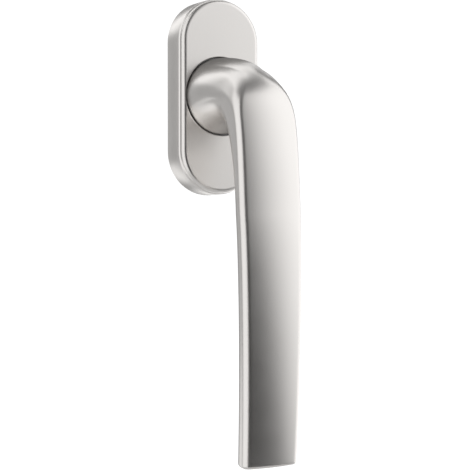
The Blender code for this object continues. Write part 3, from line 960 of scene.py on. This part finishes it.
def makeSprings(shape):
    wire, turns = shape["wire"], shape["turns"]
    radius = springSpan["right"] - wire
    rise = springSpan["top"] - springSpan["bottom"] - 2 * wire
    count = turns * shape["steps"]
    rings = []
    for k in range(count + 1):
        share = k / count
        angle = 2 * math.pi * turns * share
        lifted = share - math.sin(2 * math.pi * share) / (4 * math.pi)
        out = Vector((math.cos(angle), math.sin(angle), 0))
        middle = out * radius + Vector((0, 0, wire + rise * lifted))
        thin = wire * (shape["endSlims"] if k in (0, count) else 1)
        ring = []
        for a in turnsOf(shape["sides"]):
            ring.append(middle + (out * math.cos(a) + Vector((0, 0, math.sin(a)))) * thin)
        rings.append(ring)
    mesh = loft("coil", rings)
    for name, side, turn in (("upper", 1, 0), ("lower", -1, math.pi)):
        place = at(0, ballDepth, side * springSpan["bottom"])
        node = f"detent_spring_{name}"
        fitPiece(f"coil_{name}", mesh, node, "base", "spring_steel", place, (0, turn, 0))


def makeBalls(shape):
    profile = []
    for k in range(shape["rings"] + 1):
        lean = between(shape["poleFlat"], math.pi - shape["poleFlat"], k / shape["rings"])
        profile.append((ballRadius * math.sin(lean), -ballRadius * math.cos(lean)))
    mesh = upright("ball", profile, shape["steps"])
    for name, side in (("upper", 1), ("lower", -1)):
        place = at(0, ballDepth, side * ballSpan["middle"].z)
        node = f"detent_ball_{name}"
        fitPiece(f"steel_ball_{name}", mesh, node, f"ball_{name}", "plated_steel", place)


makeSprings(coilShape)
makeBalls(ballShape)
print("detent set")


# The rings on the lever's journal, from the detent ring back to the circlip.

stackShape = {
    "bore": 7.3 * mm,
    "flat": 6.3 * mm,  # from the axis to each of the two flats in a bore
    "rim": 9.5 * mm,
    "notches": 4,
    "seated": 11.0 * mm,  # from the axis to a ball's centre in its notch
    "ringEdge": 0.22 * mm,
    "washerEdge": 0.08 * mm,
    "waveSheet": 0.3 * mm,
    "waves": 3,
    "steps": 288,
}


def flatted(angle):
    return min(stackShape["bore"], stackShape["flat"] / max(abs(math.cos(angle)), 0.5))


def plainRim(angle):
    return stackShape["rim"]


# The round of the detent ring, with a round notch for a ball at each stop.
def notched(angle):
    pitch = 2 * math.pi / stackShape["notches"]
    off = (angle + pitch / 2) % pitch - pitch / 2
    notch = ballRadius + gap
    seated = stackShape["seated"]
    across = seated * math.sin(off)
    if abs(across) >= notch:
        return stackShape["rim"]
    return min(stackShape["rim"], seated * math.cos(off) - math.sqrt(notch**2 - across**2))


def plate(name, outer, inner, back, front, edge):
    corners = [
        (outer, -edge, back),
        (outer, 0, back + edge),
        (outer, 0, front - edge),
        (outer, -edge, front),
        (inner, edge, front),
        (inner, 0, front - edge),
        (inner, 0, back + edge),
        (inner, edge, back),
    ]
    rings = []
    for radius, step, depth in corners:
        ring = []
        for a in turnsOf(stackShape["steps"]):
            r = radius(a) + step
            ring.append(at(r * math.cos(a), depth, r * math.sin(a)))
        rings.append(ring)
    return loft(name, rings, joined=True)


def makeStack(shape):
    back, front = ringSpan["back"], ringSpan["front"]
    mesh = plate("notched_ring", notched, flatted, back, front, shape["ringEdge"])
    fitPiece("notched_ring", mesh, "detent_ring", "lever", "die_cast_zinc")
    span = spanOf("thrust_washer")
    mesh = plate("washer", plainRim, flatted, span["back"], span["front"], shape["washerEdge"])
    fitPiece("flat_washer", mesh, "thrust_washer", "lever", "die_cast_zinc")


def makeWaveWasher(shape):
    span = spanOf("wave_washer")
    middle = (span["back"] + span["front"]) / 2
    half, edge = shape["waveSheet"] / 2, shape["washerEdge"]
    swing = (span["front"] - span["back"]) / 2 - half
    section = [(shape["bore"], half - edge), (shape["bore"] + edge, half)]
    section += [(shape["rim"] - edge, half), (shape["rim"], half - edge)]
    section += [(r, -lift) for r, lift in reversed(section)]
    rings = []
    for a in turnsOf(shape["steps"]):
        depth = middle + swing * math.sin(shape["waves"] * a)
        rings.append([at(r * math.cos(a), depth + lift, r * math.sin(a)) for r, lift in section])
    mesh = loft("wavy_washer", rings, joined=True)
    fitPiece("wavy_washer", mesh, "wave_washer", "lever", "spring_steel")


makeStack(stackShape)
makeWaveWasher(stackShape)
print("journal rings stacked")


# The circlip, open at the bottom, with an eye in each lug.

circlipShape = {
    "inner": 6.3 * mm,
    "outer": 7.9 * mm,
    "lug": 1.2 * mm,
    "lugAngle": math.radians(18),
    "opening": math.radians(44),
    "eye": 0.5 * mm,
    "edge": 0.06 * mm,
    "steps": 96,
}


def arc(radius, start, end, steps):
    angles = [between(start, end, k / steps) for k in range(steps + 1)]
    return [(radius * math.cos(a), radius * math.sin(a)) for a in angles]


def makeCirclip(shape):
    span = spanOf("retaining_ring")
    start = shape["opening"] / 2 - math.pi / 2
    end = 3 * math.pi / 2 - shape["opening"] / 2
    lug, far = shape["lugAngle"], shape["outer"] + shape["lug"]
    outline = arc(far, start, start + lug, 12)
    outline += arc(shape["outer"], start + lug, end - lug, shape["steps"])
    outline += arc(far, end - lug, end, 12)
    outline += arc(shape["inner"], end, start, shape["steps"])
    mesh = stamped("circlip", outline, span["back"], span["front"])
    eyeEnds = [(shape["eye"], span["back"] - overshoot), (shape["eye"], span["front"] + overshoot)]
    eye = turned("eye", eyeEnds, 28)
    spot = (shape["inner"] + far) / 2
    cutters = []
    for a in (start + lug / 2, end - lug / 2):
        cutters.append((eye, at(spot * math.cos(a), 0, spot * math.sin(a)), (0, 0, 0)))
    mesh = carve(mesh, cutters)
    piece = fitPiece("circlip", mesh, "retaining_ring", "lever", "spring_steel")
    roundEdges(piece, shape["edge"])


makeCirclip(circlipShape)
print("circlip punched")


# The square spindle, with a groove along its top for its leaf spring.

spindleShape = {
    "corner": 0.5 * mm,
    "endChamfer": 0.5 * mm,
    "groove": (1.8 * mm, 5.3 * mm),  # half its width and length
    "edge": 0.07 * mm,
}


def squareOutline(half, corner):
    points = []
    for turn in range(4):
        for x, z in ((half, half - corner), (half - corner, half)):
            for _ in range(turn):
                x, z = -z, x
            points.append((x, z))
    return points


def makeSpindle(shape):
    span, leafSpan = spanOf("spindle"), spanOf("spindle_clip")
    half, chamfer = span["right"], shape["endChamfer"]
    ends = (
        (span["back"], chamfer),
        (span["back"] + chamfer, 0),
        (span["front"] - chamfer, 0),
        (span["front"], chamfer),
    )
    rings = []
    for depth, inset in ends:
        rings.append([at(x, depth, z) for x, z in squareOutline(half - inset, shape["corner"])])
    across, along = shape["groove"]
    low = (-across, -along, leafSpan["bottom"] - gap)
    groove = block("groove", low, (across, along, half + overshoot))
    mesh = carve(loft("bar", rings), [(groove, at(0, -leafSpan["middle"].y, 0), (0, 0, 0))])
    piece = fitPiece("square_bar", mesh, "spindle", "lever", "plated_steel")
    roundEdges(piece, shape["edge"])


makeSpindle(spindleShape)
print("spindle cut")


# Stage: a pale floor far below, soft light all round, and a person's view from the left.

stageLook = {
    "floorDrop": 0.75,
    "floorSize": 8.0,
    "floorColour": (0.9, 0.9, 0.895),
    "floorRoughness": 0.9,
    "floorGlow": 1.15,
    "white": 1.1,  # what the camera sees round the object
    "ambient": 0.06,
    "bounce": 0.6,
}

# A round tent of cloth, lit from behind. Directions are degrees from straight out into the
# room, positive to the right. The left panel reaches from the wall to the viewer, who stands
# in the dark, and the right panel brightens to the right and upwards. Bright stripes stand
# high and low behind the window. The echo is what metal shows that sees it in other metal.
# The overhead cloth is brightest towards the window.
tentLook = {
    "radius": 0.9,
    "bottom": -1.2,
    "top": 1.3,
    "steps": 96,
    "round": [
        *((-180, 0.3), (-168, 0.4), (-154, 0.55), (-145, 0.34), (-134, 0.34), (-124, 0.6), (-112, 1.04)),
        *((-50, 1.06), (-37, 0.07), (-10, 0.02), (120, 0.03), (150, 0.3), (180, 0.3)),
    ],
    "rightPanel": [
        *((-180, 0.0), (-30, 0.01), (-18, 0.03), (-8, 0.05), (2, 0.11), (9, 0.25), (15, 0.43)),
        *((22, 0.64), (28, 0.82), (34, 0.94), (41, 1.04), (51, 1.18), (60, 1.25), (112, 1.25)),
        *((136, 0.0), (180, 0.0)),
    ],
    "tilt": 76,  # how many degrees the right panel's edge moves left for each metre up
    "level": -0.03,
    "tiltTop": 0.12,
    "behind": [
        *((-180, 0.0), (-172, 0.05), (-162, 0.85), (-150, 0.85), (-128, 0.0)),
        *((125, 0.0), (140, 0.6), (150, 0.35), (165, 0.0), (180, 0.0)),
    ],
    "stripes": [(-1.0, 0.7), (-0.32, 0.7), (-0.17, 0.02), (0.23, 0.02), (0.42, 1.0), (1.0, 1.0)],
    "echo": [(-180, 1.2), (-12, 1.2), (4, 0.0), (180, 0.0)],
    "echoStripes": [(-1.0, 1.0), (-0.3, 1.0), (-0.17, 0.02), (0.3, 0.02), (0.5, 0.15), (1.0, 0.15)],
    "echoShade": [(-180, 0.22), (60, 0.22), (110, 0.95), (180, 0.95)],
    "overhead": [(-0.9, 0.2), (-0.25, 0.2), (0.1, 0.45), (0.3, 0.7), (0.5, 1.25), (0.9, 1.25)],
}


def makeGlow(name, strength):
    material = bpy.data.materials.new(name)
    material.use_nodes = True
    tree = material.node_tree
    tree.nodes.clear()
    shine = addNode(tree, "Emission", {"Strength": strength})
    addNode(tree, "OutputMaterial", {"Surface": shine.outputs["Emission"]})
    return material, tree, shine


# Stands a surface on the stage. The camera sees the floor, but not the lights.
def setUp(name, bm, material, up=0, seen=False):
    mesh = bpy.data.meshes.new(name)
    bm.to_mesh(mesh)
    bm.free()
    mesh.materials.append(material)
    surface = bpy.data.objects.new(name, mesh)
    surface.location = (0, 0, up)
    surface.visible_camera = seen
    bpy.context.scene.collection.objects.link(surface)


def rampOf(tree, value, low, high, stops):
    curve = tree.nodes.new("ShaderNodeFloatCurve")
    line = curve.mapping.curves[0]
    shares = [((spot - low) / (high - low), level) for spot, level in stops]
    line.points[0].location = shares[0]
    line.points[1].location = shares[-1]
    for spot, level in shares[1:-1]:
        line.points.new(spot, level)
    for point in line.points:
        point.handle_type = "AUTO_CLAMPED"
    curve.mapping.clip_min_y = 0
    curve.mapping.clip_max_y = 2
    curve.mapping.update()
    tree.links.new(spread(tree, value, 0, 1, low, high), curve.inputs["Value"])
    return curve.outputs["Value"]


def doMath(tree, operation, first, second):
    return addNode(tree, "Math", {0: first, 1: second}, operation=operation).outputs["Value"]


def placesOf(tree):
    places = addNode(tree, "TexCoord").outputs["Object"]
    return addNode(tree, "SeparateXYZ", {"Vector": places}).outputs


def makeTent(look):
    bm = bmesh.new()
    rings = []
    for up in (look["bottom"], look["top"]):
        radius = look["radius"]
        around = turnsOf(look["steps"])
        rings.append([bm.verts.new((radius * math.cos(a), radius * math.sin(a), up)) for a in around])
    for k in range(look["steps"]):
        after = (k + 1) % look["steps"]
        bm.faces.new((rings[0][k], rings[0][after], rings[1][after], rings[1][k]))
    material, tree, shine = makeGlow("lit_cloth", 1)
    places = placesOf(tree)
    towardsRoom = doMath(tree, "MULTIPLY", places["Y"], -1.0)
    angle = doMath(tree, "ARCTAN2", places["X"], towardsRoom)
    degrees = doMath(tree, "MULTIPLY", angle, 180 / math.pi)

    def around(name, direction=degrees):
        return rampOf(tree, direction, -180, 180, look[name])

    def upwards(name):
        return rampOf(tree, places["Z"], -1, 1, look[name])

    height = doMath(tree, "MINIMUM", places["Z"], look["tiltTop"])
    rise = doMath(tree, "SUBTRACT", height, look["level"])
    slanted = doMath(tree, "ADD", degrees, doMath(tree, "MULTIPLY", rise, look["tilt"]))
    panels = doMath(tree, "ADD", around("round"), around("rightPanel", slanted))
    behind = doMath(tree, "MULTIPLY", around("behind"), upwards("stripes"))
    first = doMath(tree, "ADD", panels, behind)
    echo = doMath(tree, "MULTIPLY", around("echo"), upwards("echoStripes"))
    echo = doMath(tree, "ADD", echo, around("echoShade"))
    bounces = addNode(tree, "LightPath").outputs["Ray Depth"]
    second = doMath(tree, "GREATER_THAN", bounces, 1.5)
    light = addNode(tree, "Mix", {"Factor": second, "A": first, "B": echo}).outputs["Result"]
    tree.links.new(light, shine.inputs["Strength"])
    setUp("light_tent", bm, material)


def makeSkylight(look):
    bm = bmesh.new()
    radius = look["radius"]
    bmesh.ops.create_grid(bm, x_segments=1, y_segments=1, size=radius)
    material, tree, shine = makeGlow("top_light", 1)
    places = placesOf(tree)
    brightness = rampOf(tree, places["Y"], -radius, radius, look["overhead"])
    tree.links.new(brightness, shine.inputs["Strength"])
    setUp("top_softbox", bm, material, look["top"])


# A dim card over the floor, for what the metal sees below it.
def makeBounceCard(look):
    bm = bmesh.new()
    bmesh.ops.create_circle(bm, cap_ends=True, segments=64, radius=tentLook["radius"])
    material = makeGlow("dim_card", look["bounce"])[0]
    setUp("bounce_card", bm, material, gap - look["floorDrop"])


def makeFloor(look):
    bm = bmesh.new()
    bmesh.ops.create_grid(bm, x_segments=1, y_segments=1, size=look["floorSize"])
    material = bpy.data.materials.new("pale_floor")
    material.use_nodes = True
    shader = material.node_tree.nodes["Principled BSDF"]
    shader.inputs["Base Color"].default_value = (*look["floorColour"], 1)
    shader.inputs["Roughness"].default_value = look["floorRoughness"]
    shader.inputs["Emission Color"].default_value = (1, 1, 1, 1)
    shader.inputs["Emission Strength"].default_value = look["floorGlow"]
    setUp("floor", bm, material, -look["floorDrop"], seen=True)


def makeWorld(look):
    world = bpy.data.worlds.new("white_room")
    bpy.context.scene.world = world
    world.use_nodes = True
    tree = world.node_tree
    tree.nodes.clear()
    seen = addNode(tree, "LightPath").outputs["Is Camera Ray"]
    plain = addNode(tree, "Background", {"Strength": look["ambient"]}).outputs["Background"]
    white = addNode(tree, "Background", {"Color": (1, 1, 1, 1), "Strength": look["white"]})
    mix = addNode(tree, "MixShader", {0: seen, 1: plain, 2: white.outputs["Background"]})
    addNode(tree, "OutputWorld", {"Surface": mix.outputs["Shader"]})


viewPoint = {
    "toTheLeft": 27.0,  # degrees round from straight in front
    "distance": 0.400,  # from the spindle
    "sideStep": 9.8 * mm,
    "height": -37.9 * mm,
    "lookDown": 1.352,  # degrees
    "lens": 87.63,
    "film": 36,  # mm across, as the lens
}


def makeCamera(view):
    turn = math.radians(view["toTheLeft"])
    ahead = Vector((math.sin(turn), math.cos(turn), 0))
    right = Vector((math.cos(turn), -math.sin(turn), 0))
    data = bpy.data.cameras.new("camera")
    data.lens = view["lens"]
    data.sensor_width = view["film"]
    data.clip_start = 0.01
    camera = bpy.data.objects.new("camera", data)
    camera.location = right * view["sideStep"] - ahead * view["distance"]
    camera.location.z = view["height"]
    camera.rotation_euler = (math.radians(90 - view["lookDown"]), 0, -turn)
    bpy.context.scene.collection.objects.link(camera)
    bpy.context.scene.camera = camera


makeTent(tentLook)
makeSkylight(tentLook)
makeFloor(stageLook)
makeBounceCard(stageLook)
makeWorld(stageLook)
makeCamera(viewPoint)
bpy.context.scene.view_settings.view_transform = "Standard"
print("stage lit")
